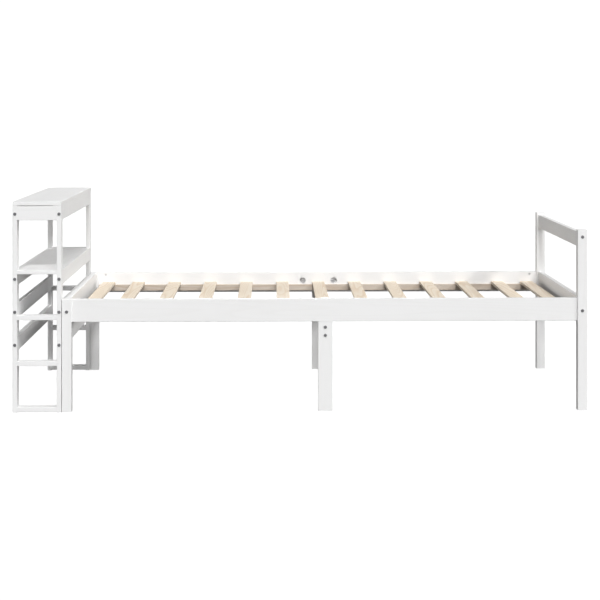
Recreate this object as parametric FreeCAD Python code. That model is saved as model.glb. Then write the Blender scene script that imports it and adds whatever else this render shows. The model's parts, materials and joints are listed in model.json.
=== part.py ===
import FreeCAD, Part
import math
import os

# A single bed of painted pine with a slim open bookcase standing close behind its head posts.
# Lengths are in millimetres. +X runs from the bookcase to the foot end, +Y from the near
# side to the far side and +Z up. The origin is on the floor, under the middle of the whole.

Vector = FreeCAD.Vector

# Bed, overall
bed_length = 2058.0
bed_width = 960.0
rail_top_height = 440.0
foot_post_height = 708.0

# Bed posts, side rails and cross rails
post_width = 37.5  # along the bed
post_depth = 35.0  # across the bed
rail_height = 89.5
rail_thickness = 20.0
foot_top_rail_height = 58.5
foot_top_rail_drop = 11.0  # from the top of the foot posts down to the rail

# Middle legs, which stand under the joint of the two rail halves, and the bearer between them
mid_leg_width = 56.5
leg_tenon_width = 36.0
leg_tenon_thickness = 10.0
leg_tenon_height = 10.0
bearer_height = 77.0
bearer_thickness = 20.0
bearer_bolt_spacing = 32.0

# Slats and the ledger strips that carry them
ledger_height = 25.0
ledger_depth = 20.0
ledger_lift = 9.5  # above the underside of the rail
ledger_end_gap = 3.0
slat_width = 55.0
slat_thickness = 12.0
slat_end_gap = 2.0
end_slat_inset = 85.0  # from the end of the bed to the middle of the end slat
inner_slats_each_side = 5
slat_pitch_share = 0.1717  # of the distance from the middle slat to an end slat

# Bookcase, overall
bookcase_depth = 190.0
bookcase_overhang = 5.0  # past each side of the bed
bookcase_gap = 0.8  # between the bookcase and the head posts
bookcase_height = 822.0
shelf_top_height = 552.5  # the shelf boards are level with the shelf

# Bookcase posts, boards and panels
case_post_width = 18.0  # along the bed
case_post_depth = 45.0  # across the bed
case_board_height = 57.5
case_board_thickness = 17.0  # flush with the inner faces of the posts
case_board_pitch = 128.5  # from the shelf boards down to the upper boards, and on to the lower ones
top_panel_thickness = 15.5
shelf_thickness = 14.0

# Bookcase end frames
rung_thickness = 18.0
rung_height = 23.5
end_top_rail_height = 55.0
end_top_rail_drop = 2.5  # from the top panel down to the rail
upper_rung_foot = 358.5
lower_rung_foot = 181.5
bottom_rail_foot = 3.5
rung_tenon_length = 5.0
rung_tenon_shoulder = 4.0

# Furniture bolts with thin flat heads. The side rail bolts are sunk, the others sit on the face.
bolt_diameter = 6.0
bolt_length = 72.0
bolt_head_diameter = 12.5
bolt_head_height = 2.0
bolt_socket_flats = 4.0
bolt_socket_depth = 2.5
bolt_head_recess = 0.5  # of a sunk head below the face
bolt_head_gap = 0.5  # around a sunk head
bolt_hole_gap = 0.25  # around the shank and past its tip
rail_bolt_rise = 40.5  # above the underside of the head rail and the lower foot rail
foot_top_bolt_rise = 41.5  # above the underside of the upper foot rail
side_bolt_drop = 11.0  # below the top of the side rail
case_bolt_rise = 24.5  # above the underside of a bookcase board

# Barrel nuts of the side rail bolts
barrel_nut_diameter = 10.0
barrel_nut_length = 14.0
barrel_nut_gap = 0.1
barrel_nut_slot_width = 1.6
barrel_nut_slot_depth = 1.2
bolt_tip_past_nut = 3.5  # from the nut's axis to the tip of the bolt

# Joint of the two rail halves: a threaded rod, with half-moon washers and cap nuts in round recesses
joint_rise = 51.0  # above the underside of the rail
joint_reach = 70.5  # from the joint to the middle of a recess
joint_recess_diameter = 28.0
joint_rod_diameter = 6.0
joint_rod_gap = 0.3
joint_nut_flats = 10.0
joint_nut_thickness = 5.0
half_moon_height = 11.0
joint_gap = 0.5  # between the fittings and the recess

# Finish
edge_easing = 1.0  # flat taken off the edges of the boards
tenon_gap = 0.2  # between a tenon and its mortise
cut_overrun = 5.0

# Places that follow from the sizes above
along_bed = Vector(1, 0, 0)
across_bed = Vector(0, 1, 0)
upwards = Vector(0, 0, 1)
sides = {"near": -1, "far": 1}
ends = {"head": -1, "foot": 1}

whole_length = bookcase_depth + bookcase_gap + bed_length
case_back_x = -whole_length / 2
case_front_x = case_back_x + bookcase_depth
bed_head_x = case_front_x + bookcase_gap
bed_mid_x = bed_head_x + bed_length / 2
post_x = (bed_length - post_width) / 2  # from the middle of the bed to the middle of a post
post_y = (bed_width - post_depth) / 2
cross_rail_reach = bed_width / 2 - post_depth
rail_inner_y = post_y - rail_thickness / 2
rail_foot = rail_top_height - rail_height
foot_top_rail_foot = foot_post_height - foot_top_rail_drop - foot_top_rail_height
bearer_foot = rail_foot - bearer_height
ledger_foot = rail_foot + ledger_lift
slat_foot = ledger_foot + ledger_height

bookcase_width = bed_width + 2 * bookcase_overhang
case_post_x = {
    "back": case_back_x + case_post_width / 2,
    "front": case_front_x - case_post_width / 2,
}
case_inner_x_span = (case_back_x + case_post_width, case_front_x - case_post_width)
case_post_y = (bookcase_width - case_post_depth) / 2
case_board_reach = bookcase_width / 2 - case_post_depth
top_panel_foot = bookcase_height - top_panel_thickness
end_top_rail_top = top_panel_foot - end_top_rail_drop
shelf_board_foot = shelf_top_height - case_board_height
case_board_feet = {
    "top": top_panel_foot - case_board_height,
    "shelf": shelf_board_foot,
    "upper": shelf_board_foot - case_board_pitch,
    "lower": shelf_board_foot - 2 * case_board_pitch,
}
rung_spans = {
    "top_rail": (end_top_rail_top - end_top_rail_height, end_top_rail_top),
    "upper_rung": (upper_rung_foot, upper_rung_foot + rung_height),
    "lower_rung": (lower_rung_foot, lower_rung_foot + rung_height),
    "bottom_rail": (bottom_rail_foot, bottom_rail_foot + rung_height),
}

bolt_head_foot = bolt_head_recess + bolt_head_height
bolt_reach = bolt_head_recess + bolt_length
bolt_hole_radius = bolt_diameter / 2 + bolt_hole_gap
head_hole_radius = bolt_head_diameter / 2 + bolt_head_gap

wood = {}
bolt_heads = []
side_bolts = []
barrel_nuts = []
joint_fittings = []


# Shapes that many pieces share

def span(centre, size):
    return (centre - size / 2, centre + size / 2)


def block(x_span, y_span, z_span):
    corner = Vector(x_span[0], y_span[0], z_span[0])
    return Part.makeBox(x_span[1] - x_span[0], y_span[1] - y_span[0], z_span[1] - z_span[0], corner)


def edges_along(shape, axis):
    tangents = [(edge, edge.tangentAt(edge.FirstParameter)) for edge in shape.Edges]
    return [edge for edge, tangent in tangents if abs(tangent.dot(axis)) > tangent.cross(axis).Length]


def board(x_span, y_span, z_span, axis):
    """A planed board that runs along the axis, with its four long edges eased."""
    shape = block(x_span, y_span, z_span)
    return shape.makeChamfer(edge_easing, edges_along(shape, axis))


def capped_post(x_span, y_span, height):
    """A post with its upright edges and the rim of its top eased."""
    shape = block(x_span, y_span, (0, height))
    top_rim = max(shape.Faces, key=lambda face: face.CenterOfMass.z).Edges
    return shape.makeChamfer(edge_easing, edges_along(shape, upwards) + top_rim)


def turned(profile, base, axis):
    """A solid of revolution: the profile lists radius and distance along the axis."""
    points = [Vector(radius, 0, distance) for radius, distance in profile]
    face = Part.Face(Part.makePolygon(points + points[:1]))
    shape = face.revolve(Vector(0, 0, 0), upwards, 360)
    shape.Placement = FreeCAD.Placement(base, FreeCAD.Rotation(upwards, axis))
    return shape


def rod(radius, start, end):
    return Part.makeCylinder(radius, (end - start).Length, start, end - start)


def hexagon_prism(base, flats, reach):
    """A prism that reaches along the bed, with two of its flats facing across the bed."""
    corner_radius = flats / math.sqrt(3)
    angles = [math.radians(30 + 60 * corner) for corner in range(6)]
    corners = [base + Vector(0, math.cos(angle), math.sin(angle)) * corner_radius for angle in angles]
    return Part.Face(Part.makePolygon(corners + corners[:1])).extrude(reach)


def cut_from(tool, *pieces):
    for piece in pieces:
        wood[piece] = wood[piece].cut(tool)


# Bed

def make_bed_posts():
    post_heights = {"head": rail_top_height, "foot": foot_post_height}
    for end, end_sign in ends.items():
        x_span = span(bed_mid_x + end_sign * post_x, post_width)
        for side, side_sign in sides.items():
            y_span = span(side_sign * post_y, post_depth)
            wood[f"{end}_post_{side}"] = capped_post(x_span, y_span, post_heights[end])


def make_side_rails():
    """Each side rail is two halves that meet over the middle leg."""
    for side, side_sign in sides.items():
        y_span = span(side_sign * post_y, rail_thickness)
        for end, end_sign in ends.items():
            post_face = bed_mid_x + end_sign * (bed_length / 2 - post_width)
            x_span = sorted((post_face, bed_mid_x))
            wood[f"side_rail_{side}_{end}"] = board(x_span, y_span, (rail_foot, rail_top_height), along_bed)


def make_cross_rails():
    y_span = (-cross_rail_reach, cross_rail_reach)
    head_x_span = span(bed_mid_x - post_x, rail_thickness)
    foot_x_span = span(bed_mid_x + post_x, rail_thickness)
    low_z_span = (rail_foot, rail_top_height)
    high_z_span = (foot_top_rail_foot, foot_top_rail_foot + foot_top_rail_height)
    wood["head_rail"] = board(head_x_span, y_span, low_z_span, across_bed)
    wood["foot_rail_lower"] = board(foot_x_span, y_span, low_z_span, across_bed)
    wood["foot_rail_upper"] = board(foot_x_span, y_span, high_z_span, across_bed)


def make_mid_legs():
    """The legs carry the rail halves, and a tenon on each leg keys both halves."""
    for side, side_sign in sides.items():
        y = side_sign * post_y
        leg = board(span(bed_mid_x, mid_leg_width), span(y, rail_thickness), (0, rail_foot), upwards)
        tenon_z_span = (rail_foot - leg_tenon_height, rail_foot + leg_tenon_height)
        tenon = block(span(bed_mid_x, leg_tenon_width), span(y, leg_tenon_thickness), tenon_z_span)
        wood[f"mid_leg_{side}"] = leg.fuse(tenon).removeSplitter()
        mortise = block(
            span(bed_mid_x, leg_tenon_width + 2 * tenon_gap),
            span(y, leg_tenon_thickness + 2 * tenon_gap),
            (rail_foot - cut_overrun, rail_foot + leg_tenon_height + tenon_gap),
        )
        cut_from(mortise, f"side_rail_{side}_head", f"side_rail_{side}_foot")


def make_mid_bearer():
    x_span = span(bed_mid_x, bearer_thickness)
    wood["mid_bearer"] = board(x_span, (-rail_inner_y, rail_inner_y), (bearer_foot, rail_foot), across_bed)


def make_slat_ledgers():
    for side, side_sign in sides.items():
        y_span = sorted((side_sign * rail_inner_y, side_sign * (rail_inner_y - ledger_depth)))
        for end, end_sign in ends.items():
            post_end = bed_mid_x + end_sign * (bed_length / 2 - post_width - ledger_end_gap)
            x_span = sorted((post_end, bed_mid_x + end_sign * ledger_end_gap))
            wood[f"slat_ledger_{side}_{end}"] = block(x_span, y_span, (ledger_foot, slat_foot))


def make_slats():
    """Evenly spaced slats about the middle one, and an end slat close to each end."""
    end_offset = bed_length / 2 - end_slat_inset
    pitch = slat_pitch_share * end_offset
    inner = [step * pitch for step in range(-inner_slats_each_side, inner_slats_each_side + 1)]
    slat_reach = rail_inner_y - slat_end_gap
    for number, offset in enumerate([-end_offset] + inner + [end_offset], start=1):
        x_span = span(bed_mid_x + offset, slat_width)
        z_span = (slat_foot, slat_foot + slat_thickness)
        wood[f"slat_{number:02d}"] = board(x_span, (-slat_reach, slat_reach), z_span, across_bed)


# Bookcase

def make_case_posts():
    for place, x in case_post_x.items():
        for side, side_sign in sides.items():
            y_span = span(side_sign * case_post_y, case_post_depth)
            post = board(span(x, case_post_width), y_span, (0, top_panel_foot), upwards)
            wood[f"bookcase_post_{place}_{side}"] = post


def make_case_rungs():
    """Rails and rungs of the two end frames, with stub tenons let into the posts."""
    x_span = case_inner_x_span
    tenon_x_span = (x_span[0] - rung_tenon_length, x_span[1] + rung_tenon_length)
    mortise_x_span = (tenon_x_span[0] - tenon_gap, tenon_x_span[1] + tenon_gap)
    tenon_thickness = rung_thickness - 2 * rung_tenon_shoulder
    for side, side_sign in sides.items():
        y = side_sign * (bookcase_width - rung_thickness) / 2
        posts = [f"bookcase_post_{place}_{side}" for place in case_post_x]
        for name, z_span in rung_spans.items():
            tenon_z_span = (z_span[0] + rung_tenon_shoulder, z_span[1] - rung_tenon_shoulder)
            mortise_z_span = (tenon_z_span[0] - tenon_gap, tenon_z_span[1] + tenon_gap)
            rung = board(x_span, span(y, rung_thickness), z_span, along_bed)
            tenon = block(tenon_x_span, span(y, tenon_thickness), tenon_z_span)
            wood[f"bookcase_{name}_{side}"] = rung.fuse(tenon).removeSplitter()
            mortise = block(mortise_x_span, span(y, tenon_thickness + 2 * tenon_gap), mortise_z_span)
            cut_from(mortise, *posts)


def make_case_boards():
    inner_back_x, inner_front_x = case_inner_x_span
    x_spans = {
        "back": (inner_back_x - case_board_thickness, inner_back_x),
        "front": (inner_front_x, inner_front_x + case_board_thickness),
    }
    for place, x_span in x_spans.items():
        for level, foot in case_board_feet.items():
            z_span = (foot, foot + case_board_height)
            shape = board(x_span, (-case_board_reach, case_board_reach), z_span, across_bed)
            wood[f"bookcase_board_{place}_{level}"] = shape


def make_case_top():
    y_span = span(0, bookcase_width)
    panel = block((case_back_x, case_front_x), y_span, (top_panel_foot, bookcase_height))
    wood["bookcase_top_panel"] = panel.makeChamfer(edge_easing, panel.Edges)


def make_case_shelf():
    """The shelf is held between the shelf boards, and its ends show between the posts."""
    z_span = (shelf_top_height - shelf_thickness, shelf_top_height)
    wood["bookcase_shelf"] = board(case_inner_x_span, span(0, bookcase_width), z_span, along_bed)


# Fasteners

def fit_bolt_head(seat, outward):
    """The head of a bolt that holds a rail or board end, lying on the face at the seat."""
    bolt_heads.append(rod(bolt_head_diameter / 2, seat, seat + outward * bolt_head_height))


def fit_side_bolt(seat, inward, post, rail):
    """A bolt through a post into the end of a side rail, with its socket head sunk in the post."""
    bolt_profile = [
        (0, bolt_head_recess),
        (bolt_head_diameter / 2, bolt_head_recess),
        (bolt_head_diameter / 2, bolt_head_foot),
        (bolt_diameter / 2, bolt_head_foot),
        (bolt_diameter / 2, bolt_reach),
        (0, bolt_reach),
    ]
    hole_profile = [
        (0, -cut_overrun),
        (head_hole_radius, -cut_overrun),
        (head_hole_radius, bolt_head_foot),
        (bolt_hole_radius, bolt_head_foot),
        (bolt_hole_radius, bolt_reach + bolt_hole_gap),
        (0, bolt_reach + bolt_hole_gap),
    ]
    socket_mouth = seat + inward * (bolt_head_recess - cut_overrun)
    socket = hexagon_prism(socket_mouth, bolt_socket_flats, inward * (bolt_socket_depth + cut_overrun))
    side_bolts.append(turned(bolt_profile, seat, inward).cut(socket))
    cut_from(turned(hole_profile, seat, inward), post, rail)


def fit_barrel_nut(centre, bolt_axis, mouth, rail):
    """A cross-drilled barrel nut, let in from the rail face that the mouth direction points at.

    The slot in its end shows which way the bore runs.
    """
    half = mouth * (barrel_nut_length / 2)
    nut = rod(barrel_nut_diameter / 2, centre - half, centre + half)
    bore_half = bolt_axis * barrel_nut_diameter
    bore = rod(bolt_diameter / 2, centre - bore_half, centre + bore_half)
    slot_foot = centre + half - mouth * barrel_nut_slot_depth
    slot = block(
        span(centre.x, 2 * barrel_nut_diameter),
        sorted((slot_foot.y, slot_foot.y + mouth.y * barrel_nut_length)),
        span(centre.z, barrel_nut_slot_width),
    )
    barrel_nuts.append(nut.cut(bore).cut(slot))
    hole_radius = barrel_nut_diameter / 2 + barrel_nut_gap
    hole_end = centre - half - mouth * barrel_nut_gap
    cut_from(rod(hole_radius, hole_end, centre + mouth * (rail_thickness / 2 + cut_overrun)), rail)


def fasten_cross_rails():
    bolt_heights = {
        "head": [rail_foot + rail_bolt_rise],
        "foot": [rail_foot + rail_bolt_rise, foot_top_rail_foot + foot_top_bolt_rise],
    }
    for end, end_sign in ends.items():
        for side_sign in sides.values():
            for z in bolt_heights[end]:
                seat = Vector(bed_mid_x + end_sign * post_x, side_sign * bed_width / 2, z)
                fit_bolt_head(seat, across_bed * side_sign)


def fasten_side_rails():
    for side, side_sign in sides.items():
        for end, end_sign in ends.items():
            rail = f"side_rail_{side}_{end}"
            end_x = bed_mid_x + end_sign * bed_length / 2
            seat = Vector(end_x, side_sign * post_y, rail_top_height - side_bolt_drop)
            inward = along_bed * -end_sign
            nut_centre = seat + inward * (bolt_reach - bolt_tip_past_nut)
            fit_side_bolt(seat, inward, f"{end}_post_{side}", rail)
            fit_barrel_nut(nut_centre, inward, across_bed * -side_sign, rail)


def fasten_mid_legs():
    bearer_middle = bearer_foot + bearer_height / 2
    for side_sign in sides.values():
        y = side_sign * (post_y + rail_thickness / 2)
        for z in span(bearer_middle, bearer_bolt_spacing):
            fit_bolt_head(Vector(bed_mid_x, y, z), across_bed * side_sign)


def fasten_case_boards():
    for x in case_post_x.values():
        for side_sign in sides.values():
            for foot in case_board_feet.values():
                seat = Vector(x, side_sign * bookcase_width / 2, foot + case_bolt_rise)
                fit_bolt_head(seat, across_bed * side_sign)


def half_moon(centre, towards_joint, mouth):
    """A half-round washer, slotted to slip over the rod: its flat side carries the nut."""
    radius = joint_recess_diameter / 2 - joint_gap
    half = across_bed * (half_moon_height / 2)
    drum = rod(radius, centre - half, centre + half)
    x_span = sorted((centre.x, centre.x + towards_joint.x * joint_recess_diameter))
    near_half = block(x_span, span(centre.y, half_moon_height), span(centre.z, joint_recess_diameter))
    slot_foot = centre.y - mouth.y * (joint_rod_diameter / 2 + joint_rod_gap)
    slot_y_span = sorted((slot_foot, centre.y + mouth.y * half_moon_height))
    slot = block(x_span, slot_y_span, span(centre.z, joint_rod_diameter + 2 * joint_rod_gap))
    return drum.common(near_half).cut(slot)


def join_rail_halves():
    fitting_depth = max(half_moon_height, joint_nut_flats + 2 * joint_gap)
    recess_depth = (rail_thickness + fitting_depth) / 2
    rod_hole_radius = joint_rod_diameter / 2 + joint_rod_gap
    for side, side_sign in sides.items():
        joint = Vector(bed_mid_x, side_sign * post_y, rail_foot + joint_rise)
        mouth = across_bed * -side_sign
        rod_half = along_bed * joint_reach
        joint_fittings.append(rod(joint_rod_diameter / 2, joint - rod_half, joint + rod_half))
        for end, end_sign in ends.items():
            rail = f"side_rail_{side}_{end}"
            outward = along_bed * end_sign
            centre = joint + outward * joint_reach
            recess_mouth = centre + mouth * (rail_thickness / 2 + cut_overrun)
            recess_end = recess_mouth - mouth * (recess_depth + cut_overrun)
            cut_from(rod(joint_recess_diameter / 2, recess_end, recess_mouth), rail)
            cut_from(rod(rod_hole_radius, joint - outward * cut_overrun, centre), rail)
            joint_fittings.append(half_moon(centre, outward * -1, mouth))
            joint_fittings.append(hexagon_prism(centre, joint_nut_flats, outward * joint_nut_thickness))


def main():
    make_bed_posts()
    make_side_rails()
    make_cross_rails()
    make_mid_legs()
    make_mid_bearer()
    make_slat_ledgers()
    make_slats()
    make_case_posts()
    make_case_rungs()
    make_case_boards()
    make_case_top()
    make_case_shelf()
    fasten_cross_rails()
    fasten_side_rails()
    fasten_mid_legs()
    fasten_case_boards()
    join_rail_halves()
    groups = {
        "bolt_heads": bolt_heads,
        "side_rail_bolts": side_bolts,
        "side_rail_barrel_nuts": barrel_nuts,
        "rail_joint_fittings": joint_fittings,
    }
    os.makedirs("parts", exist_ok=True)
    for name, shape in wood.items():
        shape.exportStep(f"parts/{name}.step")
    for name, solids in groups.items():
        Part.makeCompound(solids).exportStep(f"parts/{name}.step")


main()
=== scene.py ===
import json
import math

import bmesh
import bpy
from mathutils import Matrix, Vector


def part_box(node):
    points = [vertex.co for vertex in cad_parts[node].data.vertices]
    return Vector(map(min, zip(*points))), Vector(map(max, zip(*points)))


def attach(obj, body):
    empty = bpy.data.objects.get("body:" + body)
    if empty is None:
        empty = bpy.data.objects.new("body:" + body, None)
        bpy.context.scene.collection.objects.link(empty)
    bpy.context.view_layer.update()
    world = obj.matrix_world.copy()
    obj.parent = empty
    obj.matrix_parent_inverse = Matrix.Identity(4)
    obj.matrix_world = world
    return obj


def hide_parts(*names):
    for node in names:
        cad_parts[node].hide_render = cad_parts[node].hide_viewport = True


# A white painted bed with bare pine slats and a slim bookcase at its head, shown on a pale floor.
# Lengths are in metres, in the frame of the solids: +X to the foot end, +Y to the far side, +Z up.

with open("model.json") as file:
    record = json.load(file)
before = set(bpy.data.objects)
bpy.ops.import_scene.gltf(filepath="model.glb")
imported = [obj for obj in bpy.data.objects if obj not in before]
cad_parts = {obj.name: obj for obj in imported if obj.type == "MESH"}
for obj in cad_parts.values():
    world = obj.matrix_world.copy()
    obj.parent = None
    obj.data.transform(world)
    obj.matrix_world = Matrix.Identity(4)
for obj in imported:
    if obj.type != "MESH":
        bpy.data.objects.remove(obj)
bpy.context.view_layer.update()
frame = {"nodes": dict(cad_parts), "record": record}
nodes = frame["nodes"]

# Camera: level, turned a little towards the foot end, with the frame shifted down
camera_place = Vector((-0.1128, -6.4026, 1.2136))
camera_tilt = math.radians(90.0)  # from looking straight down to level
camera_turn = math.radians(1.053)
camera_lens = 90.85  # millimetres
camera_sensor = 36.0  # millimetres
horizon_rise_share = 0.3315  # of the frame's width, above its middle

# Soft lamps, all far off: rise and turn towards the foot end in degrees, and the light that each
# one brings to a surface facing it
lamp_spread = math.radians(10.0)  # how wide each lamp looks from the bed
lamps = {
    "upper_front_lamp": (48.0, 20.0, 0.833),
    "upper_head_lamp": (55.0, -45.0, 0.323),
    "front_lamp": (40.0, 0.0, 1.604),
    "front_foot_lamp": (40.0, 60.0, 0.950),
    "foot_lamp": (40.0, 90.0, 0.632),
    "low_front_lamp": (22.0, 25.0, 0.363),
    "low_foot_lamp": (0.0, 45.0, 0.465),
    "low_head_lamp": (6.0, -60.0, 0.352),
    "back_lamp": (2.0, 180.0, 0.940),
    "back_head_lamp": (8.0, -135.0, 0.750),
    "back_foot_lamp": (15.0, 135.0, 0.729),
}

# Stage: a pale floor in a white room, and a little light that comes up from below
white = (1.0, 1.0, 1.0, 1.0)
light_from_below = 0.117
horizon_blur = 0.05  # rise over which the light from below fades out
room_brightness = 1.05
floor_size = 60.0
floor_tone = 0.02
floor_glow = 0.995
floor_roughness = 0.9

# Spans: the middle of a noise's values, and shares that go up or down
noise_span = (0.3, 0.7)
rising = (0.0, 1.0)
falling = (1.0, 0.0)

# Figure of the wood. Each noise along the grain has its stretch, scale, detail and roughness.
ring_field = (14.0, 6.0, 2.0, 0.45)
ring_rise_span = (0.25, 0.92)
ring_fall_span = (0.92, 1.0)
ring_sharpness = 1.8
ring_swirl = 1.6  # turns by which a knot bends the rings
knot_stretch = 2.2
knot_heart_share = 0.35  # of a knot's radius

# Paint: two near-whites that the wood's figure moves between
paint_light = (0.835, 0.835, 0.835, 1.0)
paint_shade = (0.800, 0.797, 0.792, 1.0)
paint_knot = (0.760, 0.745, 0.715, 1.0)
paint_gloss = 0.25
paint_roughness = (0.44, 0.56)
paint_fibres = (45.0, 900.0, 4.0, 0.6)
paint_stipple = (1.0, 420.0, 2.0, 0.5)
paint_cloud = (3.0, 9.0, 2.0, 0.5)
painted_knot_spacing = 0.45
painted_knot_radius = 0.020
painted_rings = 26.0
painted_knot_share = 0.35
painted_ring_share = 0.35
paint_cloud_shares = (0.0, 0.5)
fibre_relief_share = 0.5
stipple_relief_share = 0.3
painted_ring_relief_share = 0.25
paint_relief = 0.00006

# Bare pine: planed for the slats, and a darker tone of it for the ledgers
slat_early = (0.836, 0.745, 0.622, 1.0)
slat_late = (0.714, 0.570, 0.411, 1.0)
ledger_early = (0.600, 0.525, 0.450, 1.0)
ledger_late = (0.500, 0.390, 0.290, 1.0)
pine_knot = (0.330, 0.180, 0.085, 1.0)
pine_roughness = (0.55, 0.72)
pine_fibres = (60.0, 1100.0, 4.0, 0.65)
pine_cloud = (6.0, 7.0, 2.0, 0.5)
pine_knot_spacing = 0.42
pine_knot_radius = 0.012
pine_rings = 42.0
pine_knot_share = 0.8
pine_cloud_span = (0.25, 0.75)
pine_ring_shares = (0.45, 0.95)
pine_fibre_span = (0.35, 0.75)
pine_fibre_shares = (0.0, 0.18)
pine_ring_relief_share = 0.5
pine_relief = 0.0001

# Zinc plated steel, half metallic under its chalky skin: bright on the fittings of the rails, and
# on the bolt heads a darker copy of it, their own zinc with painted shade added. Each noise has its
# scale, detail and roughness.
zinc_shine_share = 0.5
painted_shade_zinc_light = (0.34, 0.34, 0.35, 1.0)
painted_shade_zinc_dark = (0.22, 0.22, 0.23, 1.0)
bright_zinc_light = (0.72, 0.72, 0.73, 1.0)
bright_zinc_dark = (0.56, 0.56, 0.57, 1.0)
zinc_roughness = (0.30, 0.46)
zinc_mottle = (900.0, 3.0, 0.6)
zinc_grit = (5000.0, 2.0, 0.5)
zinc_relief = 0.00002

# Bolt heads with a hexagon socket
head_segments = 32
head_rim_round = 0.0006
head_rim_segments = 3
socket_sides = 6
socket_flats = 0.004
socket_depth = 0.0015

# Bookcase rungs: the same stock as the posts, laid flat and flush with both faces of the posts
rung_height = 0.018
rung_feet = {"upper_rung": 0.3595, "lower_rung": 0.1810, "bottom_rail": 0.0025}

# Bookcase front posts: flush with the boards between them, which leaves a dark seam beside the bed
front_post_setback = 0.001

# Eased long edges of the rungs and front posts
bar_edge_round = 0.0012
bar_edge_segments = 2

weld = 1e-6  # corners closer than this are one corner
axis_index = {"x": 0, "y": 1, "z": 2}


# Node trees

def new_material(name):
    material = bpy.data.materials.new(name)
    material.use_nodes = True
    return material, material.node_tree, material.node_tree.nodes["Principled BSDF"]


def node(tree, kind, inputs, **settings):
    """A node with its settings, and its inputs set to values or linked to other nodes' outputs."""
    made = tree.nodes.new(kind)
    for name, value in settings.items():
        setattr(made, name, value)
    for name, value in inputs.items():
        plug(tree, made.inputs[name], value)
    return made


def plug(tree, socket, value):
    if isinstance(value, bpy.types.NodeSocket):
        tree.links.new(value, socket)
    else:
        socket.default_value = value


def object_place(tree):
    return node(tree, "ShaderNodeTexCoord", {}).outputs["Object"]


def grain_place(tree, axis, stretch):
    """Object coordinates, drawn out along the run of the grain."""
    scale = [1.0, 1.0, 1.0]
    scale[axis_index[axis]] = 1.0 / stretch
    inputs = {"Vector": object_place(tree), "Scale": scale}
    return node(tree, "ShaderNodeMapping", inputs).outputs["Vector"]


def noise(tree, vector, scale, detail, roughness):
    inputs = {"Vector": vector, "Scale": scale, "Detail": detail, "Roughness": roughness}
    return node(tree, "ShaderNodeTexNoise", inputs).outputs["Fac"]


def grain_noise(tree, axis, stretch, scale, detail, roughness):
    return noise(tree, grain_place(tree, axis, stretch), scale, detail, roughness)


def maths(tree, operation, first, second=0.0):
    made = node(tree, "ShaderNodeMath", {}, operation=operation)
    plug(tree, made.inputs[0], first)
    plug(tree, made.inputs[1], second)
    return made.outputs[0]


def times(tree, first, second):
    return maths(tree, "MULTIPLY", first, second)


def ramp(tree, value, span, result):
    """Carries the values of a span over to those of the result, and holds them past its ends."""
    inputs = {
        "Value": value,
        "From Min": span[0],
        "From Max": span[1],
        "To Min": result[0],
        "To Max": result[1],
    }
    return node(tree, "ShaderNodeMapRange", inputs).outputs["Result"]


def blend_colours(tree, share, first, second):
    made = node(tree, "ShaderNodeMix", {}, data_type="RGBA")
    plug(tree, made.inputs["Factor"], share)
    plug(tree, made.inputs["A"], first)
    plug(tree, made.inputs["B"], second)
    return made.outputs["Result"]


def knots(tree, axis, spacing, radius):
    """Closeness to the nearest knot: one in its heart, falling to zero at its rim."""
    vector = grain_place(tree, axis, knot_stretch)
    inputs = {"Vector": vector, "Scale": 1.0 / spacing, "Randomness": 1.0}
    distance = node(tree, "ShaderNodeTexVoronoi", inputs).outputs["Distance"]
    reach = radius / spacing
    return ramp(tree, distance, (knot_heart_share * reach, reach), falling)


def growth_rings(tree, axis, knot, count):
    """Contours of a long, slow noise: bands that rise slowly and end sharply, as late wood does."""
    field = grain_noise(tree, axis, *ring_field)
    swirl = times(tree, knot, ring_swirl)
    turns = maths(tree, "ADD", times(tree, field, count), swirl)
    phase = maths(tree, "FRACT", turns)
    rise = maths(tree, "POWER", ramp(tree, phase, ring_rise_span, rising), ring_sharpness)
    fall = ramp(tree, phase, ring_fall_span, falling)
    return times(tree, rise, fall)


def surface_bump(tree, shader, height, depth):
    bump = node(tree, "ShaderNodeBump", {"Height": height, "Strength": 1.0, "Distance": depth})
    tree.links.new(bump.outputs["Normal"], shader.inputs["Normal"])


# Finishes

def white_paint(axis):
    """Satin paint on pine: the figure of the wood shows through as a faint relief and tone."""
    material, tree, shader = new_material(f"white_paint_along_{axis}")
    knot = knots(tree, axis, painted_knot_spacing, painted_knot_radius)
    rings = growth_rings(tree, axis, knot, painted_rings)
    fibres = grain_noise(tree, axis, *paint_fibres)
    stipple = grain_noise(tree, axis, *paint_stipple)
    cloud = grain_noise(tree, axis, *paint_cloud)

    cloud_tone = ramp(tree, cloud, noise_span, paint_cloud_shares)
    tone = maths(tree, "ADD", times(tree, rings, painted_ring_share), cloud_tone)
    colour = blend_colours(tree, tone, paint_light, paint_shade)
    colour = blend_colours(tree, times(tree, knot, painted_knot_share), colour, paint_knot)
    tree.links.new(colour, shader.inputs["Base Color"])
    tree.links.new(ramp(tree, stipple, noise_span, paint_roughness), shader.inputs["Roughness"])
    shader.inputs["Specular IOR Level"].default_value = paint_gloss

    stipple_relief = times(tree, stipple, stipple_relief_share)
    relief = maths(tree, "ADD", times(tree, fibres, fibre_relief_share), stipple_relief)
    relief = maths(tree, "SUBTRACT", relief, times(tree, rings, painted_ring_relief_share))
    surface_bump(tree, shader, relief, paint_relief)
    return material


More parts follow.
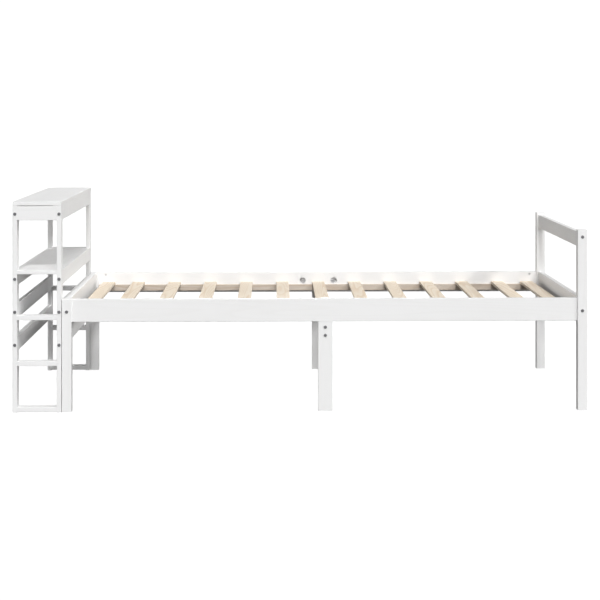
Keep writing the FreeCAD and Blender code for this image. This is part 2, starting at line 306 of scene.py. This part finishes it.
def bare_pine(name, axis, early, late):
    """Bare pine: late wood lines, fine fibres, a few knots and slow changes of tone."""
    material, tree, shader = new_material(name)
    knot = knots(tree, axis, pine_knot_spacing, pine_knot_radius)
    rings = growth_rings(tree, axis, knot, pine_rings)
    fibres = grain_noise(tree, axis, *pine_fibres)
    cloud = grain_noise(tree, axis, *pine_cloud)

    ring_tone = times(tree, rings, ramp(tree, cloud, pine_cloud_span, pine_ring_shares))
    fibre_tone = ramp(tree, fibres, pine_fibre_span, pine_fibre_shares)
    colour = blend_colours(tree, maths(tree, "ADD", ring_tone, fibre_tone), early, late)
    colour = blend_colours(tree, times(tree, knot, pine_knot_share), colour, pine_knot)
    tree.links.new(colour, shader.inputs["Base Color"])
    tree.links.new(ramp(tree, fibres, noise_span, pine_roughness), shader.inputs["Roughness"])

    relief = maths(tree, "SUBTRACT", fibres, times(tree, rings, pine_ring_relief_share))
    surface_bump(tree, shader, relief, pine_relief)
    return material


def zinc_steel(name, light, dark):
    """Zinc plate: fine grey mottling on a satin metal."""
    material, tree, shader = new_material(name)
    place = object_place(tree)
    mottle = noise(tree, place, *zinc_mottle)
    grit = noise(tree, place, *zinc_grit)
    tree.links.new(blend_colours(tree, mottle, light, dark), shader.inputs["Base Color"])
    shader.inputs["Metallic"].default_value = zinc_shine_share
    tree.links.new(ramp(tree, mottle, noise_span, zinc_roughness), shader.inputs["Roughness"])
    surface_bump(tree, shader, grit, zinc_relief)
    return material


def dress_nodes(paint, slat_pine, ledger_pine, bright_zinc):
    """Gives each CAD node its finish, with a board's grain along the longest side of its box."""
    slots = {part["node"]: part["material_slot"] for part in frame["record"]["subparts"]}
    for name, thing in nodes.items():
        low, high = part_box(name)
        sides = high - low
        axis = max(axis_index, key=lambda letter: sides[axis_index[letter]])
        finishes = {
            "white_paint": paint[axis],
            "natural_pine": ledger_pine if "ledger" in name else slat_pine,
            "zinc_steel": bright_zinc,
        }
        thing.data.materials.clear()
        thing.data.materials.append(finishes[slots[name]])


# Pieces

def add_piece(name, mesh, material):
    data = bpy.data.meshes.new(name)
    mesh.to_mesh(data)
    mesh.free()
    data.materials.append(material)
    piece = bpy.data.objects.new(name, data)
    bpy.context.scene.collection.objects.link(piece)
    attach(piece, "root")
    return piece


def round_edges(mesh, edges, radius, segments):
    bmesh.ops.bevel(
        mesh, geom=edges, offset=radius, segments=segments, profile=0.5, affect="EDGES", material=-1
    )


# Bookcase rungs and front posts

def planed_bar(low, high, axis):
    """A bar along an axis, with its four long edges eased."""
    run = axis_index[axis]
    mesh = bmesh.new()
    bmesh.ops.create_cube(mesh, size=1.0)
    bmesh.ops.scale(mesh, verts=mesh.verts, vec=high - low)
    bmesh.ops.translate(mesh, verts=mesh.verts, vec=(low + high) / 2)
    long_edges = [
        edge for edge in mesh.edges
        if abs(edge.verts[0].co[run] - edge.verts[1].co[run]) > weld
    ]
    round_edges(mesh, long_edges, bar_edge_round, bar_edge_segments)
    return mesh


def add_case_rungs(paint):
    """The rungs and bottom rails between the posts of each end of the bookcase."""
    for side in ("near", "far"):
        back_low, back_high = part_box(f"bookcase_post_back_{side}")
        front_low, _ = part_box(f"bookcase_post_front_{side}")
        for kind, foot in rung_feet.items():
            low = Vector((back_high.x, back_low.y, foot))
            high = Vector((front_low.x, back_high.y, foot + rung_height))
            bar = planed_bar(low, high, "x")
            piece = add_piece(f"flat_{kind}_{side}", bar, paint)
            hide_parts(f"bookcase_{kind}_{side}")


def add_front_posts(paint):
    """The bookcase's posts beside the bed, a hair slimmer than its back posts."""
    for side in ("near", "far"):
        low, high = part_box(f"bookcase_post_front_{side}")
        bar = planed_bar(low, high - Vector((front_post_setback, 0.0, 0.0)), "z")
        piece = add_piece(f"slim_front_post_{side}", bar, paint)
        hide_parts(f"bookcase_post_front_{side}")


# Bolt heads

def solids_of(name):
    """The lowest and highest corner of each separate solid in a CAD node."""
    mesh = bmesh.new()
    mesh.from_mesh(nodes[name].data)
    bmesh.ops.remove_doubles(mesh, verts=mesh.verts, dist=weld)
    waiting = set(mesh.verts)
    boxes = []
    while waiting:
        reached = {waiting.pop()}
        to_search = list(reached)
        while to_search:
            for edge in to_search.pop().link_edges:
                for corner in edge.verts:
                    if corner in waiting:
                        waiting.remove(corner)
                        reached.add(corner)
                        to_search.append(corner)
        places = [corner.co for corner in reached]
        low = Vector([min(place[side] for place in places) for side in range(3)])
        high = Vector([max(place[side] for place in places) for side in range(3)])
        boxes.append((low, high))
    mesh.free()
    return boxes


def ring(mesh, radius, height, segments):
    """The edges of an open circle at a height."""
    made = bmesh.ops.create_circle(mesh, cap_ends=False, radius=radius, segments=segments)["verts"]
    bmesh.ops.translate(mesh, verts=made, vec=(0.0, 0.0, height))
    return [edge for edge in mesh.edges if edge.verts[0] in made and edge.verts[1] in made]


def draw_down(mesh, edges, depth):
    """Walls from the edges straight down, closed below."""
    made = bmesh.ops.extrude_edge_only(mesh, edges=edges)["geom"]
    corners = [thing for thing in made if isinstance(thing, bmesh.types.BMVert)]
    new_edges = [thing for thing in made if isinstance(thing, bmesh.types.BMEdge)]
    lower = [edge for edge in new_edges if set(edge.verts) <= set(corners)]
    bmesh.ops.translate(mesh, verts=corners, vec=(0.0, 0.0, -depth))
    bmesh.ops.contextual_create(mesh, geom=lower)


def socket_head(radius, height):
    """A flat bolt head on the ground plane, with a rounded rim and a hexagon socket in its top."""
    mesh = bmesh.new()
    rim = ring(mesh, radius, height, head_segments)
    socket = ring(mesh, socket_flats / math.sqrt(3.0), height, socket_sides)
    bmesh.ops.bridge_loops(mesh, edges=rim + socket)
    draw_down(mesh, rim, height)
    draw_down(mesh, socket, socket_depth)
    round_edges(mesh, rim, head_rim_round, head_rim_segments)
    bmesh.ops.recalc_face_normals(mesh, faces=mesh.faces)
    return mesh


def stamp(target, shape, matrix):
    """Adds a copy of a shape to a growing mesh, at the place that the matrix gives."""
    copy = bpy.data.meshes.new("stamped_copy")
    shape.to_mesh(copy)
    copy.transform(matrix)
    target.from_mesh(copy)
    bpy.data.meshes.remove(copy)


def add_bolt_heads(zinc):
    """A socket head at each place where the solids have a plain one, facing out from the bed."""
    target = bmesh.new()
    boxes = solids_of("bolt_heads")
    low, high = boxes[0]
    head = socket_head((high.x - low.x) / 2, high.y - low.y)
    for low, high in boxes:
        middle = (low + high) / 2
        outward = Vector((0.0, math.copysign(1.0, middle.y), 0.0))
        seat = Vector((middle.x, high.y if outward.y < 0.0 else low.y, middle.z))
        turn = outward.to_track_quat("Z", "X").to_matrix().to_4x4()
        stamp(target, head, Matrix.Translation(seat) @ turn)
    head.free()
    piece = add_piece("furniture_bolt_heads", target, zinc)
    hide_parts("bolt_heads")


# Stage, light and camera

def add_floor():
    material, _, shader = new_material("pale_floor")
    shader.inputs["Base Color"].default_value = (floor_tone, floor_tone, floor_tone, 1.0)
    shader.inputs["Roughness"].default_value = floor_roughness
    shader.inputs["Emission Color"].default_value = white
    shader.inputs["Emission Strength"].default_value = floor_glow
    mesh = bmesh.new()
    bmesh.ops.create_grid(mesh, x_segments=1, y_segments=1, size=floor_size / 2)
    data = bpy.data.meshes.new("floor")
    mesh.to_mesh(data)
    mesh.free()
    data.materials.append(material)
    floor = bpy.data.objects.new("floor", data)
    floor.visible_diffuse = False
    floor.visible_glossy = False
    floor.visible_shadow = False
    bpy.context.scene.collection.objects.link(floor)


def add_lamp(name, rise, turn, light):
    lamp = bpy.data.lights.new(name, "SUN")
    lamp.angle = lamp_spread
    lamp.energy = light
    up, aside = math.radians(rise), math.radians(turn)
    out = math.cos(up)
    towards = Vector((out * math.sin(aside), -out * math.cos(aside), math.sin(up)))
    holder = bpy.data.objects.new(name, lamp)
    holder.rotation_euler = towards.to_track_quat("Z", "Y").to_euler()
    bpy.context.scene.collection.objects.link(holder)


def light_room():
    """A white room to look at, which itself gives only a little light, and the lamps."""
    world = bpy.data.worlds.new("white_room")
    world.use_nodes = True
    tree = world.node_tree
    direction = node(tree, "ShaderNodeTexCoord", {}).outputs["Generated"]
    rise = node(tree, "ShaderNodeSeparateXYZ", {"Vector": direction}).outputs["Z"]
    strength = ramp(tree, rise, (-horizon_blur, horizon_blur), (light_from_below, 0.0))
    seen = node(tree, "ShaderNodeBackground", {"Color": white, "Strength": room_brightness})
    given = node(tree, "ShaderNodeBackground", {"Color": white, "Strength": strength})
    looked_at = node(tree, "ShaderNodeLightPath", {}).outputs["Is Camera Ray"]
    shares = {0: looked_at, 1: given.outputs[0], 2: seen.outputs[0]}
    mix = node(tree, "ShaderNodeMixShader", shares)
    tree.links.new(mix.outputs[0], tree.nodes["World Output"].inputs["Surface"])
    bpy.context.scene.world = world
    for name, values in lamps.items():
        add_lamp(name, *values)


def add_camera():
    lens = bpy.data.cameras.new("camera")
    lens.sensor_width = camera_sensor
    lens.lens = camera_lens
    lens.shift_y = -horizon_rise_share
    lens.dof.use_dof = False
    camera = bpy.data.objects.new("camera", lens)
    camera.location = camera_place
    camera.rotation_euler = (camera_tilt, 0.0, -camera_turn)
    bpy.context.scene.collection.objects.link(camera)
    bpy.context.scene.camera = camera


paint = {axis: white_paint(axis) for axis in axis_index}
slat_pine = bare_pine("slat_pine", "y", slat_early, slat_late)
ledger_pine = bare_pine("ledger_pine", "x", ledger_early, ledger_late)
# Zinc of the bolt heads, darkened with painted shade
painted_shade_zinc = zinc_steel("painted_shade_zinc", painted_shade_zinc_light, painted_shade_zinc_dark)
bright_zinc = zinc_steel("bright_zinc", bright_zinc_light, bright_zinc_dark)
dress_nodes(paint, slat_pine, ledger_pine, bright_zinc)
add_case_rungs(paint["x"])
add_front_posts(paint["z"])
add_bolt_heads(painted_shade_zinc)
add_floor()
light_room()
add_camera()
bpy.context.scene.view_settings.view_transform = "Standard"
